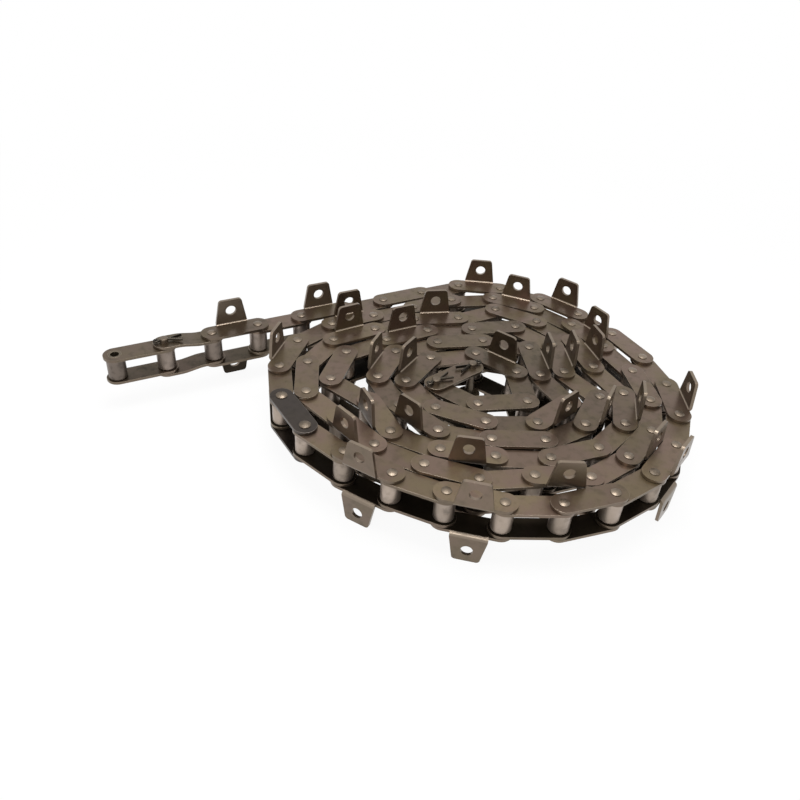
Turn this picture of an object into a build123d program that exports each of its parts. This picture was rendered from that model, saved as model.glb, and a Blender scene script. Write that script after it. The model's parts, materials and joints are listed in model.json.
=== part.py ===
from build123d import *
import math
import os

# Steel roller conveyor chain with bent attachment tabs, lying on its side.
# A straight free run leads into a coil that winds inwards, clockwise from above.
#
# Frame: origin on the axis of the open bush at the free end, half-way across the chain.
# +X runs along the free run towards the coil, +Z along the pins (upwards as it lies).
# Every link is made once, from its first pin at the origin to its second one on +X,
# and is then set between two pins of the laid-out chain. All sizes are in millimetres.

# Links
PITCH = 41.4
INNER_WIDTH = 19.8
PLATE_THICKNESS = 2.5
PLATE_HEIGHT = 19.3
PLATE_GAP = 0.2
OFFSET_RUN = 15.0
OFFSET_BEND_RADIUS = 40.0

# Pins, bushes and rollers
PIN_DIAMETER = 7.2
PIN_FIT = 0.05
HEAD_SPREAD = 0.35
HEAD_RIM = 0.5
HEAD_CROWN = 0.8
BUSH_DIAMETER = 11.2
BUSH_PROUD = 0.1
ROLLER_DIAMETER = 15.6
ROLLER_FIT = 0.08
ROLLER_END_PLAY = 0.2
ROLLER_CHAMFER = 0.6

# Attachment tabs
TAB_HEIGHT = 23.0
TAB_BASE_WIDTH = 28.0
TAB_TIP_WIDTH = 20.0
TAB_CORNER_RADIUS = 3.0
TAB_BEND_RADIUS = 1.2
TAB_HOLE_DIAMETER = 9.2
TAB_HOLE_HEIGHT = 12.5

# Connecting links and their cotter pins
CONNECTING_HEAD_SPREAD = 1.0
CONNECTING_HEAD_CROWN = 1.3
COTTER_WIRE = 2.6
COTTER_FIT = 0.1
COTTER_LIFT = 2.2
COTTER_EYE_RADIUS = 1.7
COTTER_LEG = 11.0
COTTER_SPLAY = 18.0
PIN_POINT = 4.3
COTTER_TURN = -4.0

# How the chain lies
FREE_LINKS = 8
COIL_RADIUS = 163.75
COIL_START = 65.58
RIM_TIGHTENING = 21.3
ROW_CLEARANCE = 0.3
SHARPEST_BEND = 110.0
OVAL_SIZE = 9.6
OVAL_TURN = -36.1
LOBE_SIZE = 5.75
LOBE_TURN = -77.4
CORNER_SIZE = -2.4
CORNER_TURN = 13.0

# Which outer links carry tabs: tabbed links between one plain link and the next
TABBED_RUNS = [2] * 7 + [1] + [2] * 3 + [1] + [2] * 6
DARK_LINK_NUMBER = 24

# Worked out from the sizes above
END_RADIUS = PLATE_HEIGHT / 2
INNER_FACE = INNER_WIDTH / 2
OUTER_FACE = INNER_FACE + PLATE_THICKNESS + PLATE_GAP
OUTSIDE = OUTER_FACE + PLATE_THICKNESS
BUSH_BORE = PIN_DIAMETER + 2 * PIN_FIT
BUSH_LENGTH = INNER_WIDTH + 2 * PLATE_THICKNESS + 2 * BUSH_PROUD
TAB_REACH = END_RADIUS + PLATE_THICKNESS
LINK_SPACING = PLATE_HEIGHT + ROW_CLEARANCE
TAB_SPACING = END_RADIUS + ROW_CLEARANCE
ROW_SPACING = TAB_REACH + TAB_SPACING


# ---------------------------------------------------------------- plates

def link_outline(level):
    """Flat plate with round ends about both pins, its underside at the given level."""
    outline = Pos(PITCH / 2, 0, level) * SlotCenterToCenter(PITCH, PLATE_HEIGHT)
    return extrude(outline, PLATE_THICKNESS)


def pin_holes(diameter, first=True, second=True):
    """Holes along Z at the first and the second pin."""
    places = [Pos(0, 0, 0)] * first + [Pos(PITCH, 0, 0)] * second
    return [place * Cylinder(diameter / 2, 4 * OUTSIDE) for place in places]


def roller_link_plate():
    """Inner plate: the two bushes are pressed into it."""
    return link_outline(INNER_FACE) - pin_holes(BUSH_DIAMETER)


def pin_link_plate():
    """Outer plate: the two pins are riveted in it."""
    return link_outline(OUTER_FACE) - pin_holes(PIN_DIAMETER)


def tab_section():
    """Section across the bend: out of the plate, round the bend and up to the tip."""
    bend = TAB_REACH - PLATE_THICKNESS - TAB_BEND_RADIUS
    rise = OUTSIDE + TAB_BEND_RADIUS
    tip = OUTSIDE + TAB_HEIGHT
    inside = TAB_REACH - PLATE_THICKNESS
    lower = Polyline((0, OUTER_FACE), (bend, OUTER_FACE))
    outer_bend = RadiusArc((bend, OUTER_FACE), (TAB_REACH, rise), -(TAB_BEND_RADIUS + PLATE_THICKNESS))
    wall = Polyline((TAB_REACH, rise), (TAB_REACH, tip), (inside, tip), (inside, rise))
    inner_bend = RadiusArc((inside, rise), (bend, OUTSIDE), TAB_BEND_RADIUS)
    back = Polyline((bend, OUTSIDE), (0, OUTSIDE), (0, OUTER_FACE))
    return make_face(lower + outer_bend + wall + inner_bend + back)


def tab_outline():
    """The tab seen square on: it narrows to a tip with rounded corners and has one hole."""
    base = TAB_BASE_WIDTH / 2
    half_tip = TAB_TIP_WIDTH / 2
    foot = OUTSIDE + TAB_BEND_RADIUS
    tip = OUTSIDE + TAB_HEIGHT
    corners = [(-base, OUTER_FACE), (base, OUTER_FACE), (base, foot),
               (half_tip, tip), (-half_tip, tip), (-base, foot)]
    shape = make_face(Polyline(*corners, close=True))
    top_corners = shape.vertices().sort_by(Axis.Y)[-2:]
    shape = fillet(top_corners, TAB_CORNER_RADIUS)
    return shape - Pos(0, OUTSIDE + TAB_HOLE_HEIGHT) * Circle(TAB_HOLE_DIAMETER / 2)


def tab_plate():
    """Outer plate with an attachment tab bent up along its outer edge."""
    bend = TAB_REACH - PLATE_THICKNESS - TAB_BEND_RADIUS
    strip = Pos(PITCH / 2, bend + PLATE_HEIGHT / 2, OUTER_FACE + PLATE_THICKNESS / 2) * Box(
        TAB_BASE_WIDTH, PLATE_HEIGHT, PLATE_THICKNESS)
    side = (PITCH - TAB_BASE_WIDTH) / 2
    flange = extrude(Plane.YZ.offset(side) * tab_section(), TAB_BASE_WIDTH)
    mask = extrude(Pos(PITCH / 2, 0, 0) * Plane.XZ * tab_outline(), -2 * TAB_REACH)
    return pin_link_plate() - strip + (flange & mask)


def offset_link_plate():
    """Cranked plate: outer level at its first pin, inner level with a bush at its second."""
    start = (PITCH - OFFSET_RUN) / 2
    end = (PITCH + OFFSET_RUN) / 2
    under = [(-END_RADIUS, OUTER_FACE), (start, OUTER_FACE),
             (end, INNER_FACE), (PITCH + END_RADIUS, INNER_FACE)]
    over = [(x, z + PLATE_THICKNESS) for x, z in reversed(under)]
    side = make_face(Polyline(*under, *over, close=True))
    bends = side.vertices().filter_by(lambda corner: -END_RADIUS / 2 < corner.X < PITCH)
    side = fillet(bends, OFFSET_BEND_RADIUS)
    band = extrude(Plane.XZ * side, PLATE_HEIGHT, both=True)
    outline = extrude(Pos(PITCH / 2, 0, 0) * SlotCenterToCenter(PITCH, PLATE_HEIGHT), 2 * OUTSIDE)
    plate = band & outline
    return plate - pin_holes(PIN_DIAMETER, second=False) - pin_holes(BUSH_DIAMETER, first=False)


# ---------------------------------------------------------------- round parts

def bush():
    bore = Cylinder(BUSH_BORE / 2, BUSH_LENGTH)
    return Cylinder(BUSH_DIAMETER / 2, BUSH_LENGTH) - bore


def roller():
    """Free-turning roller on a bush, with chamfered ends."""
    length = INNER_WIDTH - 2 * ROLLER_END_PLAY
    body = Cylinder(ROLLER_DIAMETER / 2, length)
    body = chamfer(body.edges().filter_by(GeomType.CIRCLE), ROLLER_CHAMFER)
    return body - Cylinder(BUSH_DIAMETER / 2 + ROLLER_FIT, length)


def pin_head(spread, crown):
    """Upset head on the outside of the upper plate: a short rim under a crown."""
    radius = PIN_DIAMETER / 2 + spread
    rim = OUTSIDE + HEAD_RIM
    top = rim + crown
    dome = (radius * radius + crown * crown) / (2 * crown)
    edge = Polyline((0, OUTSIDE), (radius, OUTSIDE), (radius, rim))
    arc = RadiusArc((radius, rim), (0, top), -dome)
    back = Line((0, top), (0, OUTSIDE))
    return revolve(Plane.XZ * make_face(edge + arc + back), Axis.Z)


def rivet_pin():
    """Pin of an ordinary link, upset at both ends."""
    head = pin_head(HEAD_SPREAD, HEAD_CROWN)
    return Cylinder(PIN_DIAMETER / 2, 2 * OUTSIDE) + head + mirror(head, Plane.XY)


def cotter_hole():
    """Cross hole through the upper end of a connecting pin."""
    hole = Cylinder(COTTER_WIRE / 2 + COTTER_FIT, 2 * PIN_DIAMETER)
    return Pos(0, 0, OUTSIDE + COTTER_LIFT) * Rot(0, 90, 0) * hole


def connecting_pin():
    """Pin headed below, and drilled above for a cotter pin."""
    shank = Pos(0, 0, PIN_POINT / 2) * Cylinder(PIN_DIAMETER / 2, 2 * OUTSIDE + PIN_POINT)
    shank = chamfer(shank.edges().sort_by(Axis.Z)[-1], COTTER_WIRE / 4)
    head = mirror(pin_head(CONNECTING_HEAD_SPREAD, CONNECTING_HEAD_CROWN), Plane.XY)
    return shank + head - cotter_hole()


def cotter_pin():
    """Split pin of half-round wire: an eye on one side of the pin, two spread legs on the other."""
    wire = COTTER_WIRE / 2
    reach = PIN_DIAMETER / 2 + wire
    shank = Rot(0, 90, 0) * Cylinder(wire, 2 * reach)
    eye = Pos(-reach - COTTER_EYE_RADIUS, 0, 0) * Torus(COTTER_EYE_RADIUS, 0.7 * wire)
    along = (Align.CENTER, Align.CENTER, Align.MIN)
    leg = Rot(0, 90, 0) * Cylinder(wire, COTTER_LEG, align=along)
    leg = leg & Pos(COTTER_LEG / 2, wire / 2, 0) * Box(COTTER_LEG, wire, COTTER_WIRE)
    leg = Rot(0, 0, COTTER_SPLAY) * leg
    root = Pos(reach, 0, 0)
    cotter = shank + eye + root * leg + root * mirror(leg, Plane.XZ) + root * Sphere(wire)
    return Pos(0, 0, OUTSIDE + COTTER_LIFT) * cotter


# ---------------------------------------------------------------- how the chain lies

def tabbed_links():
    """First pins of the outer links that carry tabs."""
    tabbed = []
    index = 2
    for run in TABBED_RUNS:
        tabbed += [index + 2 * step for step in range(run)]
        index += 2 * (run + 1)
    return tabbed


TABBED = tabbed_links()


def heading(degrees):
    """Unit step in the direction given, as a complex number in the XY plane."""
    return complex(math.cos(math.radians(degrees)), math.sin(math.radians(degrees)))


def rim(degrees):
    """Outline of the outermost turn: a slowly tightening circle, uneven as chain lies by hand."""
    tightening = RIM_TIGHTENING * (COIL_START - degrees) / 360
    oval = OVAL_SIZE * math.cos(2 * math.radians(degrees - OVAL_TURN))
    lobe = LOBE_SIZE * math.cos(3 * math.radians(degrees - LOBE_TURN))
    corner = CORNER_SIZE * math.cos(4 * math.radians(degrees - CORNER_TURN))
    return (COIL_RADIUS - tightening + oval + lobe + corner) * heading(degrees)


def rim_step(angle):
    """Angle clockwise along the outline to the pin one pitch further on."""
    near, far = 0.0, 180.0
    for _ in range(40):
        step = (near + far) / 2
        chord = abs(rim(angle - step) - rim(angle))
        near, far = (step, far) if chord < PITCH else (near, step)
    return step


def to_chord(point, start, end):
    """Distance from a point to the straight line between two pins."""
    along = end - start
    share = ((point - start) * along.conjugate()).real / abs(along) ** 2
    return abs(point - start - min(1.0, max(0.0, share)) * along)


def row_gap(first, second):
    """Distance between the centre lines of two links."""
    return min(to_chord(first[0], *second), to_chord(first[1], *second),
               to_chord(second[0], *first), to_chord(second[1], *first))


def outer_turn(run):
    """Pins round the outline, clockwise, until the turn comes back beneath the free run."""
    angle = COIL_START
    shift = run[-1] + PITCH - rim(angle)
    pins = [run[-1] + PITCH]
    while True:
        angle -= rim_step(angle)
        link = (pins[-1], rim(angle) + shift)
        if len(pins) > 2 and row_gap(link, (run[0], run[-1])) < ROW_SPACING:
            return pins
        pins.append(link[1])


def tab_line(start, end):
    """The outer face of the tab on a link, seen along the pins."""
    along = (end - start) / abs(end - start)
    foot = start + along * complex((PITCH - TAB_BASE_WIDTH) / 2, TAB_REACH)
    return foot, foot + along * TAB_BASE_WIDTH


def nested_pin(pins):
    """Next pin inwards: its link swings outwards until it lies against the row outside it.

    A tab passes above the roller links of that row, so only its pin links can stop a tab.
    Beside the free run there is always room for a tab, so that the run can swing.
    """
    here = pins[-1]
    has_tab = len(pins) - 1 in TABBED
    reach = 2 * PITCH + ROW_SPACING
    near = [index for index in range(len(pins) - 3) if abs(pins[index] - here) < reach]
    rows = [(pins[index], pins[index + 1]) for index in near]
    pin_rows = [(pins[index], pins[index + 1]) for index in near if index % 2 == 0]
    free_row = (pins[0], pins[FREE_LINKS])
    step = here - pins[-2]
    straight = math.degrees(math.atan2(step.imag, step.real))

    def clears(turn):
        link = (here, here + PITCH * heading(straight + turn))
        tab = tab_line(*link)
        if row_gap(link, free_row) < ROW_SPACING:
            return False
        if has_tab and any(row_gap(tab, row) < TAB_SPACING for row in pin_rows):
            return False
        return all(row_gap(link, row) >= LINK_SPACING for row in rows)

    bends = [turn for turn in range(30, -int(SHARPEST_BEND), -1) if clears(turn)]
    if not bends:
        return None
    inwards, outwards = bends[0], bends[0] + 1
    for _ in range(10):
        middle = (inwards + outwards) / 2
        inwards, outwards = (middle, outwards) if clears(middle) else (inwards, middle)
    return here + PITCH * heading(straight + inwards)


def lay_chain():
    """Every pin centre: along the free run, round the coil and inwards while there is room.

    The last link is a pin link, so an even number of links follows the first one.
    """
    run = [complex(index * PITCH, 0) for index in range(FREE_LINKS)]
    pins = run + outer_turn(run)
    pin = nested_pin(pins)
    while pin is not None:
        pins.append(pin)
        pin = nested_pin(pins)
    return pins if len(pins) % 2 == 0 else pins[:-1]


PINS = lay_chain()
LAST_PIN = len(PINS) - 1


def place(index):
    """Where the link that starts at this pin goes."""
    step = PINS[index + 1] - PINS[index]
    turn = math.degrees(math.atan2(step.imag, step.real))
    return Pos(PINS[index].real, PINS[index].imag, 0) * Rot(0, 0, turn)


# ---------------------------------------------------------------- links of the free run

def roller_link(name, index, bushes, rollers):
    """A roller link: two inner plates, pressed bushes and a loose roller on each bush."""
    spot = place(index)
    upper = roller_link_plate()
    ends = [spot, spot * Pos(PITCH, 0, 0)]
    parts = {name + "_plate_upper": [spot * upper],
             name + "_plate_lower": [spot * mirror(upper, Plane.XY)]}
    if len(bushes) == 1:
        parts[name + bushes[0]] = [end * bush() for end in ends]
    else:
        parts.update({name + label: [end * bush()] for label, end in zip(bushes, ends)})
    parts.update({name + label: [end * roller()] for label, end in zip(rollers, ends)})
    return parts


def pin_link(name, index, plate):
    """A pin link: two outer plates of one kind and the two pins riveted in them."""
    spot = place(index)
    return {name + "_plate_upper": [spot * plate],
            name + "_plate_lower": [spot * mirror(plate, Plane.XY)],
            name + "_pins": [spot * rivet_pin(), spot * Pos(PITCH, 0, 0) * rivet_pin()]}


def offset_link(index):
    """The cranked link: a cotter-pinned pin at its wide end and a bush at its narrow end."""
    spot = place(index)
    narrow = spot * Pos(PITCH, 0, 0)
    upper = offset_link_plate()
    return {"offset_link_plate_upper": [spot * upper],
            "offset_link_plate_lower": [spot * mirror(upper, Plane.XY)],
            "offset_link_pin": [spot * Rot(0, 0, COTTER_TURN) * connecting_pin()],
            "offset_link_cotter_pin": [spot * Rot(0, 0, COTTER_TURN) * cotter_pin()],
            "offset_link_bush": [narrow * bush()],
            "offset_link_roller": [narrow * roller()]}


def connecting_link(name, index, cotters_up):
    """A removable pin link: plain plates, headed pins and a cotter pin through each."""
    spot = place(index)
    plate = pin_link_plate()
    side = Pos(0, 0, 0) if cotters_up else Pos(PITCH, 0, 0) * Rot(0, 180, 0)
    first = spot * side * Rot(0, 0, COTTER_TURN)
    second = spot * side * Pos(PITCH, 0, 0) * Rot(0, 0, 180 + COTTER_TURN)
    return {name + "_plate_upper": [spot * plate],
            name + "_plate_lower": [spot * mirror(plate, Plane.XY)],
            name + "_pins": [first * connecting_pin(), second * connecting_pin()],
            name + "_cotter_pins": [first * cotter_pin(), second * cotter_pin()]}


def free_run():
    """The links that hang out of the coil, each piece in a node of its own."""
    both_bushes = ["_bush_free", "_bush_pinned"]
    both_rollers = ["_roller_free", "_roller_pinned"]
    parts = roller_link("end_link", 0, both_bushes, both_rollers)
    parts.update(offset_link(1))
    for number, index in enumerate((3, 5, 7), start=1):
        parts.update(roller_link(f"roller_link_{number}", index, ["_bushes"],
                                 ["_roller_a", "_roller_b"]))
    for number, index in enumerate((2, 4), start=1):
        parts.update(pin_link(f"tab_link_{number}", index, tab_plate()))
    parts.update(pin_link("plain_link", 6, pin_link_plate()))
    return parts


# ---------------------------------------------------------------- links of the coil

def copies(shape, indices, mirrored=False):
    """One copy of a part for each link."""
    piece = mirror(shape, Plane.XY) if mirrored else shape
    return [place(index) * piece for index in indices]


def at_both_pins(shape, indices):
    """One copy at each pin of every link."""
    first = [place(index) * shape for index in indices]
    second = [place(index) * Pos(PITCH, 0, 0) * shape for index in indices]
    return first + second


def coil():
    """The links of the coil, one node for each kind of piece."""
    roller_links = list(range(FREE_LINKS + 1, LAST_PIN, 2))
    pin_links = list(range(FREE_LINKS, LAST_PIN, 2))
    special = (DARK_LINK_NUMBER, pin_links[-1])
    tabbed = [index for index in pin_links if index in TABBED and index not in special]
    plain = [index for index in pin_links if index not in TABBED and index not in special]
    inner = roller_link_plate()
    outer = pin_link_plate()
    tab = tab_plate()
    parts = {"coil_roller_link_plates_upper": copies(inner, roller_links),
             "coil_roller_link_plates_lower": copies(inner, roller_links, mirrored=True),
             "coil_bushes": at_both_pins(bush(), roller_links),
             "coil_rollers": at_both_pins(roller(), roller_links),
             "coil_plain_plates_upper": copies(outer, plain),
             "coil_plain_plates_lower": copies(outer, plain, mirrored=True),
             "coil_tab_plates_upper": copies(tab, tabbed),
             "coil_tab_plates_lower": copies(tab, tabbed, mirrored=True),
             "coil_pins": at_both_pins(rivet_pin(), plain + tabbed)}
    parts.update(connecting_link("dark_link", DARK_LINK_NUMBER, cotters_up=False))
    parts.update(connecting_link("inner_end_link", pin_links[-1], cotters_up=True))
    return parts


def write_parts(parts):
    """One STEP file for each node."""
    os.makedirs("parts", exist_ok=True)
    for name, solids in parts.items():
        shape = solids[0] if len(solids) == 1 else Compound(children=solids)
        export_step(shape, f"parts/{name}.step")


write_parts({**free_run(), **coil()})
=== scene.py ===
import json
import math

import bpy
import numpy as np
from mathutils import Matrix, Vector


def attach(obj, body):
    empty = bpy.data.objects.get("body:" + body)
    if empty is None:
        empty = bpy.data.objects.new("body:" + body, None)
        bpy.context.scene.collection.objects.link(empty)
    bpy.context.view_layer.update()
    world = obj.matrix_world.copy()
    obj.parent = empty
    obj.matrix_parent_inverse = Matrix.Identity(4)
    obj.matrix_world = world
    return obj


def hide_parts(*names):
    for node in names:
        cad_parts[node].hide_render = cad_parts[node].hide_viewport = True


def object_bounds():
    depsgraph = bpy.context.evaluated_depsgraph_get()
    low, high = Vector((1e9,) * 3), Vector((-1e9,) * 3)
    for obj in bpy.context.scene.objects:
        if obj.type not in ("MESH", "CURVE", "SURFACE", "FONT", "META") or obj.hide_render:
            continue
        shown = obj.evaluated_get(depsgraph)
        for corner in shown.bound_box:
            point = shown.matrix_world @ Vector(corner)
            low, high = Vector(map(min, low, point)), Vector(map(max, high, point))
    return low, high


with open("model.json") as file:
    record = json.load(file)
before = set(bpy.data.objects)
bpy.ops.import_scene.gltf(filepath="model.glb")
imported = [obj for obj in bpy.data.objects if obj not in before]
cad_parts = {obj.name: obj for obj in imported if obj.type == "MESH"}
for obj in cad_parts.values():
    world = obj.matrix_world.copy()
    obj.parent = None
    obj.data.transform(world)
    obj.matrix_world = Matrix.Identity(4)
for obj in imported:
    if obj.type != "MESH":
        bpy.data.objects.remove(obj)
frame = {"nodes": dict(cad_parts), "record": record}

cad_low, cad_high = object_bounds()

# The camera: a short normal lens that looks down on the chain from in front of the coil.
# It stands to the left and is tipped a little, so the free run crosses the upper left.
azimuth, elevation, tip = math.radians(-29.07), math.radians(37.29), math.radians(4.56)
looked_at = Vector((0.19328, -0.14769, 0.0151))
camera_distance = 0.6365
towards_camera = Vector((
    math.sin(azimuth) * math.cos(elevation),
    -math.cos(azimuth) * math.cos(elevation),
    math.sin(elevation),
))
camera = bpy.data.objects.new("camera", bpy.data.cameras.new("camera"))
camera.data.sensor_width = 36
camera.data.lens = 35.9
camera.data.clip_start = 0.01
camera.matrix_world = (
    Matrix.Translation(looked_at + towards_camera * camera_distance)
    @ (-towards_camera).to_track_quat("-Z", "Y").to_matrix().to_4x4()
    @ Matrix.Rotation(tip, 4, "Z")
)
bpy.context.scene.collection.objects.link(camera)
bpy.context.scene.camera = camera
bpy.context.scene.view_settings.view_transform = "Standard"


# Roller link plates: flat stamped steel, round at the ends, pressed on two bushes.
# They are oiled and were never painted: the faces are a warm brown grey.
# The cut edges are brighter, partly from wear and partly a painted highlight.
class Finish:
    """One socket of a material. Arithmetic adds Math nodes, and node() adds any other node."""

    def __init__(self, tree, socket=None):
        self.tree = tree
        self.socket = socket

    def node(self, kind, settings, inputs, output=0):
        made = self.tree.nodes.new("ShaderNode" + kind)
        for name, value in settings.items():
            setattr(made, name, value)
        for name, value in inputs.items():
            if isinstance(value, Finish):
                self.tree.links.new(value.socket, made.inputs[name])
            else:
                made.inputs[name].default_value = value
        return Finish(self.tree, made.outputs[output])

    def maths(self, operation, first, second):
        return self.node("Math", {"operation": operation}, {0: first, 1: second})

    def __add__(self, other):
        return self.maths("ADD", self, other)

    def __sub__(self, other):
        return self.maths("SUBTRACT", self, other)

    def __rsub__(self, other):
        return self.maths("SUBTRACT", other, self)

    def __mul__(self, other):
        return self.maths("MULTIPLY", self, other)

    __radd__ = __add__
    __rmul__ = __mul__

    def attribute(self, name, output="Fac"):
        return self.node("Attribute", {"attribute_name": name}, {}, output)

    def step(self, start, end):
        """0 up to start, 1 from end on, with a smooth rise between them."""
        return self.node(
            "MapRange", {"interpolation_type": "SMOOTHSTEP"},
            {"Value": self, "From Min": start, "From Max": end},
        )

    def mix(self, first, second):
        """The colour first where this is 0 and second where it is 1."""
        return self.node("Mix", {"data_type": "RGBA"}, {0: self, 6: first, 7: second}, 2)

    def noise(self, place, size, detail=3.0, roughness=0.55):
        """Cloudy noise from 0 to 1 with spots of that size in metres."""
        return self.node(
            "TexNoise", {},
            {"Vector": place, "Scale": 1 / size, "Detail": detail, "Roughness": roughness},
        )

    def vector(self, operation, first, second, output=0):
        return self.node("VectorMath", {"operation": operation}, {0: first, 1: second}, output)


def steel(name, colour, stain, edge, roughness, coat, grain=0.00003):
    """Oiled steel clouded with a stain; shade is painted near black, wear and light brighter."""
    material = bpy.data.materials.new(name)
    material.use_nodes = True
    shader = material.node_tree.nodes["Principled BSDF"]
    socket = Finish(material.node_tree)
    place = socket.node("TexCoord", {}, {}, "Object")
    shaded = socket.attribute("shaded")
    wear_and_painted_light = socket.attribute("wear_and_painted_light")
    tone = socket.attribute("tone")
    cloud_size, smear_size, speck_size, grain_size, rub_size = 0.022, 0.007, 0.0011, 0.0004, 0.015
    clouds = socket.noise(place, cloud_size).step(0.36, 0.66)
    smears = socket.noise(place, smear_size, 4.0).step(0.45, 0.75)
    specks = socket.noise(place, speck_size, 4.0).step(0.6, 0.8)
    fine = socket.noise(place, grain_size, 2.0)
    old_oil = (*[channel * 0.4 for channel in stain], 1)
    painted_shade_colour = (*[channel * 0.08 for channel in stain], 1)
    face = clouds.mix((*colour, 1), (*stain, 1))
    face = (tone * 0.6 + smears * 0.42).mix(face, old_oil)
    face = (specks * 0.32).mix(face, old_oil)
    # Painted shade: faces marked shaded turn near black.
    face = shaded.mix(face, painted_shade_colour)
    # Marked faces turn toward the edge colour: wear, painted highlight and painted light.
    worn_and_lit_share = wear_and_painted_light * (0.7 + 0.3 * socket.noise(place, rub_size))
    base = worn_and_lit_share.mix(face, (*edge, 1))
    rough = roughness + 0.14 * (clouds - 0.5) + 0.12 * smears + 0.08 * (fine - 0.5) + 0.2 * shaded
    height = (fine + specks) * (1.0 - wear_and_painted_light)
    bump = socket.node("Bump", {}, {"Height": height, "Distance": grain, "Strength": 0.5})
    for target, value in (
        ("Base Color", base),
        ("Roughness", rough),
        ("Normal", bump),
        ("Coat Weight", coat * (1.0 - shaded)),
    ):
        material.node_tree.links.new(value.socket, shader.inputs[target])
    shader.inputs["Metallic"].default_value = 0.92
    shader.inputs["Coat Roughness"].default_value = 0.2
    return material


def solid_numbers(mesh):
    """The number of its solid for each vertex of a mesh that holds several."""
    ends = np.empty(len(mesh.edges) * 2, int)
    mesh.edges.foreach_get("vertices", ends)
    first, second = ends.reshape(-1, 2).T
    number = np.arange(len(mesh.vertices))
    while True:
        lower = number.copy()
        np.minimum.at(lower, first, number[second])
        np.minimum.at(lower, second, number[first])
        lower = lower[lower]
        if (lower == number).all():
            return np.unique(number, return_inverse=True)[1]
        number = lower


def vertex_places(mesh):
    places = np.empty(len(mesh.vertices) * 3)
    mesh.vertices.foreach_get("co", places)
    return places.reshape(-1, 3)


def face_vectors(mesh, kind):
    """The normal or the center of each face."""
    vectors = np.empty(len(mesh.polygons) * 3)
    mesh.polygons.foreach_get(kind, vectors)
    return vectors.reshape(-1, 3)


def add_numbers(mesh, name, values, domain):
    mesh.attributes.new(name, "FLOAT", domain).data.foreach_set("value", values.astype(np.float32))


coil_middle = (0.285, -0.145)
lightest_distance = 0.15
tone_scatter = (1271.1, 3117.7, 74.7)
tone_scatter_height = 43758.5
merge_distance = 1e-6
flat_angle = math.radians(0.3)
rounded_from = math.radians(40)
smooth_up_to = math.radians(38)


def rounded_copy(node, name, edge_radius):
    """A new piece on the node's solids, merged, with rounded edges and a tone for each solid.

    The darkest solids lie in the middle of the coil and at the end of the free run.
    """
    bpy.ops.object.select_all(action="DESELECT")
    piece = bpy.data.objects.new(name, frame["nodes"][node].data.copy())
    bpy.context.scene.collection.objects.link(piece)
    piece.select_set(True)
    bpy.context.view_layer.objects.active = piece
    bpy.ops.mesh.customdata_custom_splitnormals_clear()
    bpy.ops.object.mode_set(mode="EDIT")
    bpy.ops.mesh.select_all(action="SELECT")
    bpy.ops.mesh.remove_doubles(threshold=merge_distance)
    bpy.ops.mesh.dissolve_limited(angle_limit=flat_angle)
    bpy.ops.object.mode_set(mode="OBJECT")
    number = solid_numbers(piece.data)
    places = vertex_places(piece.data)
    tones = np.empty(number.max() + 1)
    for solid in range(len(tones)):
        middle = places[number == solid].mean(0)
        own_tone = (math.sin(middle @ tone_scatter) * tone_scatter_height) % 1
        off_lightest = abs(math.dist(middle[:2], coil_middle) - lightest_distance)
        # The tone is random for each solid, and higher away from a ring round the coil's middle.
        tones[solid] = 0.7 * own_tone + 0.6 * min(off_lightest / lightest_distance, 1)
    add_numbers(piece.data, "tone", tones[number], "POINT")
    if edge_radius:
        bevel = piece.modifiers.new("rounded_edges", "BEVEL")
        bevel.width = edge_radius
        bevel.segments = 2
        bevel.limit_method = "ANGLE"
        bevel.angle_limit = rounded_from
        bpy.ops.object.modifier_apply(modifier=bevel.name)
    bpy.ops.object.shade_smooth_by_angle(angle=smooth_up_to)
    flat = piece.modifiers.new("flat_faces", "WEIGHTED_NORMAL")
    flat.keep_sharp = True
    bpy.ops.object.modifier_apply(modifier=flat.name)
    return piece


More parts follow.
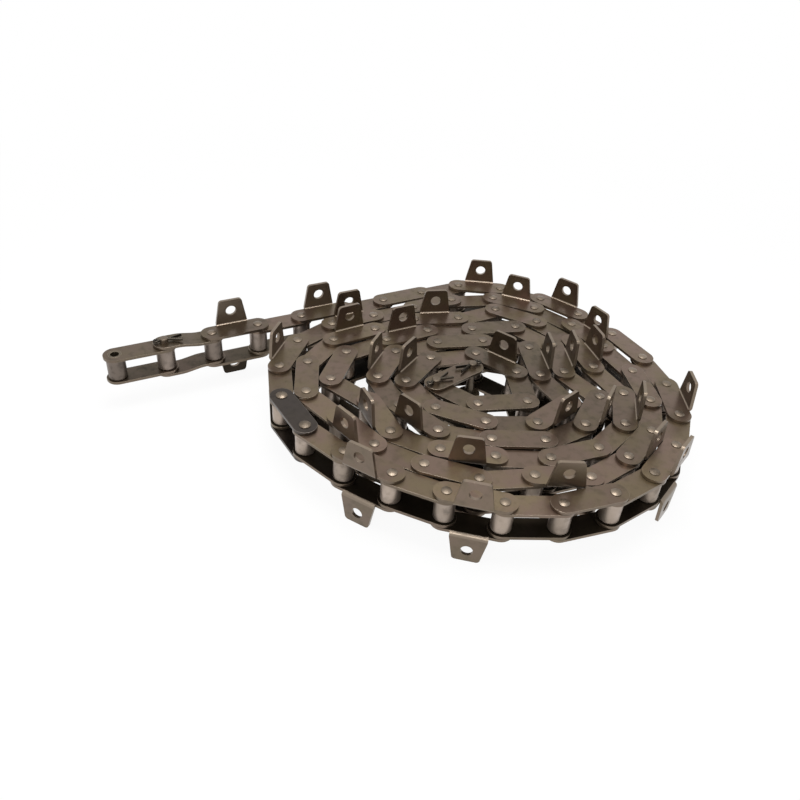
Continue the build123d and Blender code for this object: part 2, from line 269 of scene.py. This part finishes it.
def mark_wear_light_and_shade(piece, tab_start=math.inf):
    """Marks worn faces of a piece, and faces with painted light and shade.

    Cut edges and bends are worn and get a painted highlight, and the outsides of tabs are painted
    lighter as light. Shade is painted dark between the upper and lower plates, more in the coil
    than on the free run, and on the hollow sides of tabs; on the free run's upper tabs the hollow
    side is painted lighter as light instead.
    What stands higher than tab_start, or hangs lower, is a tab.
    """
    square_to, slanted = 0.97, 0.12
    in_coil = "coil" in piece.name
    mesh = piece.data
    normals = face_vectors(mesh, "normal")
    centres = face_vectors(mesh, "center")
    first_corner = np.empty(len(mesh.polygons), int)
    mesh.polygons.foreach_get("loop_start", first_corner)
    corners = np.empty(len(mesh.loops), int)
    mesh.loops.foreach_get("vertex_index", corners)
    number = solid_numbers(mesh)
    face_number = number[corners[first_corner]]
    places = vertex_places(mesh)
    level = np.abs(normals[:, 2])
    # Cut edges and bevels: wear with a painted highlight in the edge colour.
    wear_and_painted_light = np.where(level > square_to, 0.0, 0.4)
    wear_and_painted_light[(level > slanted) & (level < square_to)] = 1.0
    # Painted shade: faces between the upper and lower plates are darkened, most in the coil.
    between = level * -np.sign(normals[:, 2] * centres[:, 2]) > square_to
    shaded = np.where(between, 0.9 if in_coil else 0.35, 0.0)
    for solid in range(number.max() + 1):
        own = places[number == solid]
        in_tab = np.abs(own[:, 2]) > tab_start
        if not in_tab.any():
            continue
        outward = own[in_tab][:, :2].mean(0) - own[~in_tab][:, :2].mean(0)
        outward /= np.linalg.norm(outward)
        on_tab = (face_number == solid) & (np.abs(centres[:, 2]) > tab_start)
        facing = normals[:, :2] @ outward
        hollow = on_tab & (facing < -square_to)
        lower_tab = own[in_tab][:, 2].mean() < 0
        # Tabs: wear and painted highlight on bends and edges, painted light on the outsides.
        wear_and_painted_light[on_tab] = 0.7
        wear_and_painted_light[on_tab & (facing > square_to)] = 0.4 if in_coil else 0.1
        # Hollow sides: painted shade, but painted lighter as light on the free run's upper tabs.
        wear_and_painted_light[hollow] = 0.0 if in_coil or lower_tab else 0.9
        shaded[hollow] = 0.85 if lower_tab else 0.2 * in_coil
    add_numbers(mesh, "wear_and_painted_light", wear_and_painted_light, "FACE")
    add_numbers(mesh, "shaded", shaded, "FACE")


plate_material = steel(
    "oiled_plate_steel",
    colour=(0.178, 0.120, 0.091),
    stain=(0.152, 0.114, 0.067),
    edge=(0.24, 0.193, 0.148),
    roughness=0.36,
    coat=0.25,
)
body_of_node = {
    node: body
    for body, nodes in frame["record"]["behaviour"]["bodies"].items()
    for node in nodes
}


def fit(piece, node, material):
    """Gives the piece its material, and puts it on the node's body in the node's stead."""
    piece.data.materials.clear()
    piece.data.materials.append(material)
    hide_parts(node)
    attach(piece, body_of_node[node])


plate_edge_radius = 0.00035
for node in (
    "end_link_plate_upper", "end_link_plate_lower",
    "roller_link_1_plate_upper", "roller_link_1_plate_lower",
    "roller_link_2_plate_upper", "roller_link_2_plate_lower",
    "roller_link_3_plate_upper", "roller_link_3_plate_lower",
    "coil_roller_link_plates_upper", "coil_roller_link_plates_lower",
):
    plates = rounded_copy(node, "rounded_" + node, plate_edge_radius)
    mark_wear_light_and_shade(plates)
    fit(plates, node, plate_material)


# Pin link plates: the same strip, riveted outside the roller links, some with a bent tab.
# The tab's hollow side is painted darker as shade; on the free run's upper tabs it is
# painted lighter as light. In the coil the tab's outside is painted lighter as light.
tab_start = 0.0163
for node in (
    "offset_link_plate_upper", "offset_link_plate_lower",
    "tab_link_1_plate_upper", "tab_link_1_plate_lower",
    "tab_link_2_plate_upper", "tab_link_2_plate_lower",
    "plain_link_plate_upper", "plain_link_plate_lower",
    "coil_plain_plates_upper", "coil_plain_plates_lower",
    "coil_tab_plates_upper", "coil_tab_plates_lower",
    "inner_end_link_plate_upper", "inner_end_link_plate_lower",
):
    plates = rounded_copy(node, "rounded_" + node, plate_edge_radius)
    mark_wear_light_and_shade(plates, tab_start)
    fit(plates, node, plate_material)

# The dark link: one replacement link in the coil, with plates blued nearly black.
# It is held by cottered connecting pins instead of rivets.
dark_material = steel(
    "blued_plate_steel",
    colour=(0.047, 0.036, 0.03),
    stain=(0.042, 0.032, 0.024),
    edge=(0.13, 0.11, 0.095),
    roughness=0.36,
    coat=0.25,
)
for node in ("dark_link_plate_upper", "dark_link_plate_lower"):
    plates = rounded_copy(node, "rounded_" + node, plate_edge_radius)
    mark_wear_light_and_shade(plates)
    fit(plates, node, dark_material)

# Bushes: plain steel tubes pressed into the roller links' plates, which turn on the pins.
# The open one at the free end shows its bore, and pin links' plates cover the ends of the rest.
bush_edge_radius = 0.0002
bush_material = steel(
    "bush_steel",
    colour=(0.18, 0.14, 0.10),
    stain=(0.15, 0.118, 0.08),
    edge=(0.30, 0.25, 0.18),
    roughness=0.34,
    coat=0.2,
)
for node in (
    "end_link_bush_free", "end_link_bush_pinned", "offset_link_bush",
    "roller_link_1_bushes", "roller_link_2_bushes", "roller_link_3_bushes", "coil_bushes",
):
    bushes = rounded_copy(node, "rounded_" + node, bush_edge_radius)
    mark_wear_light_and_shade(bushes)
    fit(bushes, node, bush_material)

# Rollers: turned steel rings that run loose on the bushes.
# They are satin and lighter than the plates, and duller on the free run than in the coil.
roller_edge_radius = 0.0002
coil_roller_material = steel(
    "coil_roller_steel",
    colour=(0.50, 0.41, 0.345),
    stain=(0.42, 0.345, 0.28),
    edge=(0.42, 0.36, 0.3),
    roughness=0.42,
    coat=0.2,
)
free_roller_material = steel(
    "free_roller_steel",
    colour=(0.38, 0.31, 0.265),
    stain=(0.32, 0.26, 0.215),
    edge=(0.42, 0.36, 0.3),
    roughness=0.44,
    coat=0.15,
)
for node in (
    "end_link_roller_free", "end_link_roller_pinned", "offset_link_roller",
    "roller_link_1_roller_a", "roller_link_1_roller_b", "roller_link_2_roller_a",
    "roller_link_2_roller_b", "roller_link_3_roller_a", "roller_link_3_roller_b", "coil_rollers",
):
    rollers = rounded_copy(node, "rounded_" + node, roller_edge_radius)
    roller_material = coil_roller_material if "coil" in node else free_roller_material
    fit(rollers, node, roller_material)

# Pins: hardened steel, riveted with a peened head at each end that stands proud of the plate.
# Those of the offset, dark and inner end links have one head and a cross hole for a cotter pin.
pin_edge_radius = 0.00015
pin_material = steel(
    "pin_steel",
    colour=(0.24, 0.19, 0.145),
    stain=(0.19, 0.15, 0.11),
    edge=(0.5, 0.44, 0.36),
    roughness=0.42,
    coat=0.1,
    grain=0.00012,
)
for node in (
    "offset_link_pin", "tab_link_1_pins", "tab_link_2_pins", "plain_link_pins", "coil_pins",
    "dark_link_pins", "inner_end_link_pins",
):
    pins = rounded_copy(node, "rounded_" + node, pin_edge_radius)
    fit(pins, node, pin_material)

# Cotter pins: half-round wire doubled back on itself, pushed through the connecting pins.
# The legs are spread by hand, so that the cotter cannot work out.
cotter_material = steel(
    "cotter_steel",
    colour=(0.085, 0.07, 0.053),
    stain=(0.06, 0.05, 0.037),
    edge=(0.3, 0.26, 0.21),
    roughness=0.34,
    coat=0.1,
)
for node in ("offset_link_cotter_pin", "dark_link_cotter_pins", "inner_end_link_cotter_pins"):
    cotters = rounded_copy(node, "rounded_" + node, edge_radius=0)
    fit(cotters, node, cotter_material)

# The floor: a seamless white sheet, so evenly lit that the chain leaves only a faint shadow.
# It is plain white to the eye, and near the chain a small share of it takes the real light.
bpy.ops.object.select_all(action="DESELECT")
bpy.ops.mesh.primitive_plane_add(size=16, location=(*coil_middle, cad_low.z))
floor = bpy.context.object
floor.name = "floor"
floor_material = bpy.data.materials.new("floor_white")
floor_material.use_nodes = True
floor_tree = floor_material.node_tree
floor_tree.nodes.clear()
socket = Finish(floor_tree)
distance = socket.node("TexCoord", {}, {}, "Object")
distance = socket.vector("LENGTH", distance, (0, 0, 0), 1)
shadow_share, shadow_fades_from, shadow_ends_at = 0.07, 0.3, 0.9
fade = distance.step(shadow_fades_from, shadow_ends_at)
white_share = (1 - shadow_share) + fade * shadow_share
seen = socket.node("LightPath", {}, {}, "Is Camera Ray")
for other_ray in ("Is Glossy Ray", "Is Transmission Ray"):
    seen = socket.maths("MAXIMUM", seen, socket.node("LightPath", {}, {}, other_ray))
matt = socket.node("BsdfDiffuse", {}, {"Color": (0.85, 0.85, 0.85, 1)})
white = socket.node("Emission", {}, {"Color": (1, 1, 1, 1), "Strength": 1.0})
floor_output = floor_tree.nodes.new("ShaderNodeOutputMaterial")
floor_shader = socket.node("MixShader", {}, {0: white_share * seen, 1: matt, 2: white})
floor_tree.links.new(floor_shader.socket, floor_output.inputs["Surface"])
floor.data.materials.append(floor_material)

# Light: a white room, one wide lamp high in front on the left, and one over the coil.
# What the camera and the polished parts see of the room is plain white.
world = bpy.data.worlds.new("white_room")
bpy.context.scene.world = world
world.use_nodes = True
world_tree = world.node_tree
world_tree.nodes.clear()
socket = Finish(world_tree)
seen = socket.node("LightPath", {}, {}, "Is Camera Ray")
for other_ray in ("Is Glossy Ray", "Is Transmission Ray"):
    seen = socket.maths("MAXIMUM", seen, socket.node("LightPath", {}, {}, other_ray))
room = socket.node("Background", {}, {"Color": (1, 0.985, 0.96, 1), "Strength": 0.55})
backdrop = socket.node("Background", {}, {"Color": (1, 1, 1, 1), "Strength": 1.0})
world_output = world_tree.nodes.new("ShaderNodeOutputWorld")
world_shader = socket.node("MixShader", {}, {0: seen, 1: room, 2: backdrop})
world_tree.links.new(world_shader.socket, world_output.inputs["Surface"])
for name, place, size, watts in (
    ("lamp_front_left", (-0.7, -1.0, 1.1), 0.7, 8),
    ("lamp_over_coil", (0.25, -0.1, 1.3), 0.6, 14),
):
    lamp = bpy.data.objects.new(name, bpy.data.lights.new(name, "AREA"))
    lamp.data.size = size
    lamp.data.energy = watts
    lamp.location = place
    lamp.rotation_mode = "QUATERNION"
    lamp.rotation_quaternion = (Vector((*coil_middle, 0)) - lamp.location).to_track_quat("-Z", "Y")
    bpy.context.scene.collection.objects.link(lamp)
